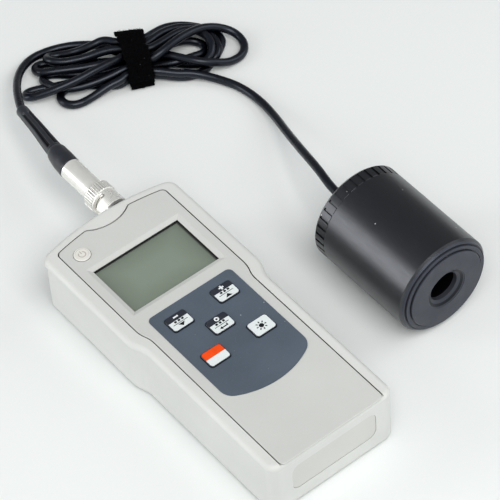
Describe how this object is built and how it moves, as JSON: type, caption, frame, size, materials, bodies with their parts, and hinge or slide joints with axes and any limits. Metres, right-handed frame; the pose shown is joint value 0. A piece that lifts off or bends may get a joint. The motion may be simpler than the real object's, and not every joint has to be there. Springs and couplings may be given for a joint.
{
  "type": "light meter",
  "caption": "Hand-held light meter lying on its back, with a round light sensor head on a tied-up lead that plugs into its top end by a bayonet connector.",
  "frame": {"origin": "middle of the meter's flat back, on the table it lies on", "axes": "+X to the right of the display, +Y towards the connector end, +Z out of the display, away from the table"},
  "size_m": [0.1683, 0.2865, 0.0484],
  "materials": {
    "shell_plastic": "moulded, fine satin",
    "rim_plastic": "moulded, fine satin",
    "cover_plastic": "fine matt texture",
    "plate_plastic": "matt film",
    "keypad_film": "matt printed film",
    "key_white": "satin",
    "key_orange": "satin",
    "button_grey": "satin",
    "window_clear": "clear",
    "lcd_grey": "grey-green display",
    "dark_rubber": "matt",
    "strip_rubber": "striped silicone",
    "guide_clear": "diffusing",
    "board_green": "solder mask",
    "part_black": "moulded",
    "steel": "zinc plated",
    "nickel": "nickel plated, polished",
    "gold": "gold plated",
    "insulator_white": "turned",
    "cell_jacket": "printed film",
    "lead_black": "satin",
    "relief_black": "matt",
    "strap_black": "fuzzy woven",
    "head_dark": "satin, dark grey",
    "face_dark": "satin, dark grey",
    "bore_black": "light-absorbing",
    "lens_glass": "polished",
    "cell_ceramic": "sensor can"
  },
  "bodies": {
    "meter": {"aperture_rim": "face_dark", "aperture_tube": "bore_black", "batteries": "cell_jacket", "battery_contacts": "steel", "battery_springs": "steel", "bnc_contact": "gold", "bnc_insulator": "insulator_white", "bnc_nut": "nickel", "bnc_socket": "nickel", "bnc_washer": "steel", "board_parts": "part_black", "board_screws": "steel", "case_screws": "steel", "cord_gland": "relief_black", "cord_hank": "lead_black", "cord_tie": "strap_black", "cord_to_plug": "lead_black", "cord_to_sensor": "lead_black", "display_gasket": "dark_rubber", "display_window": "window_clear", "end_plate": "plate_plastic", "front_cover": "cover_plastic", "front_frame": "rim_plastic", "key_switches": "part_black", "keypad_overlay": "keypad_film", "lcd_backlight": "guide_clear", "lcd_edge_strips": "strip_rubber", "lcd_panel": "lcd_grey", "lens_ring": "bore_black", "light_cell": "cell_ceramic", "main_board": "board_green", "plug_insulator": "insulator_white", "plug_pin": "gold", "plug_sleeve": "nickel", "rear_shell": "shell_plastic", "sensor_barrel": "head_dark", "sensor_board": "board_green", "sensor_face_plate": "face_dark", "sensor_lens": "lens_glass", "sensor_rear_cap": "head_dark", "sensor_wires": "dark_rubber", "strain_relief": "relief_black"},
    "battery_door": {"battery_door": "shell_plastic"},
    "coupling_nut": {"coupling_nut": "nickel"},
    "key_backlight": {"key_backlight": "key_white"},
    "key_down": {"key_down": "key_white"},
    "key_enter": {"key_enter": "key_white"},
    "key_record": {"key_record": "key_orange"},
    "key_up": {"key_up": "key_white"},
    "power_button": {"power_button": "button_grey"}
  },
  "joints": [
    {"name": "key_down_press", "type": "slide", "parent": "meter", "child": "key_down", "axis": [0, 0, -1], "range_m": [0, 0.0005], "stiffness_N_per_m": 2000},
    {"name": "key_up_press", "type": "slide", "parent": "meter", "child": "key_up", "axis": [0, 0, -1], "range_m": [0, 0.0005], "stiffness_N_per_m": 2000},
    {"name": "key_enter_press", "type": "slide", "parent": "meter", "child": "key_enter", "axis": [0, 0, -1], "range_m": [0, 0.0005], "stiffness_N_per_m": 2000},
    {"name": "key_record_press", "type": "slide", "parent": "meter", "child": "key_record", "axis": [0, 0, -1], "range_m": [0, 0.0005], "stiffness_N_per_m": 2000},
    {"name": "key_backlight_press", "type": "slide", "parent": "meter", "child": "key_backlight", "axis": [0, 0, -1], "range_m": [0, 0.0005], "stiffness_N_per_m": 2000},
    {"name": "power_button_press", "type": "slide", "parent": "meter", "child": "power_button", "axis": [0, 0, -1], "range_m": [0, 0.0005], "stiffness_N_per_m": 2000},
    {"name": "battery_door_slide", "type": "slide", "parent": "meter", "child": "battery_door", "axis": [0, -1, 0], "range_m": [0, 0.06]},
    {"name": "coupling_nut_turn", "type": "hinge", "parent": "meter", "child": "coupling_nut", "pos_m": [0.0095, 0.09, 0.023], "axis": [0, 1, 0], "range_deg": [0, 72]}
  ]
}
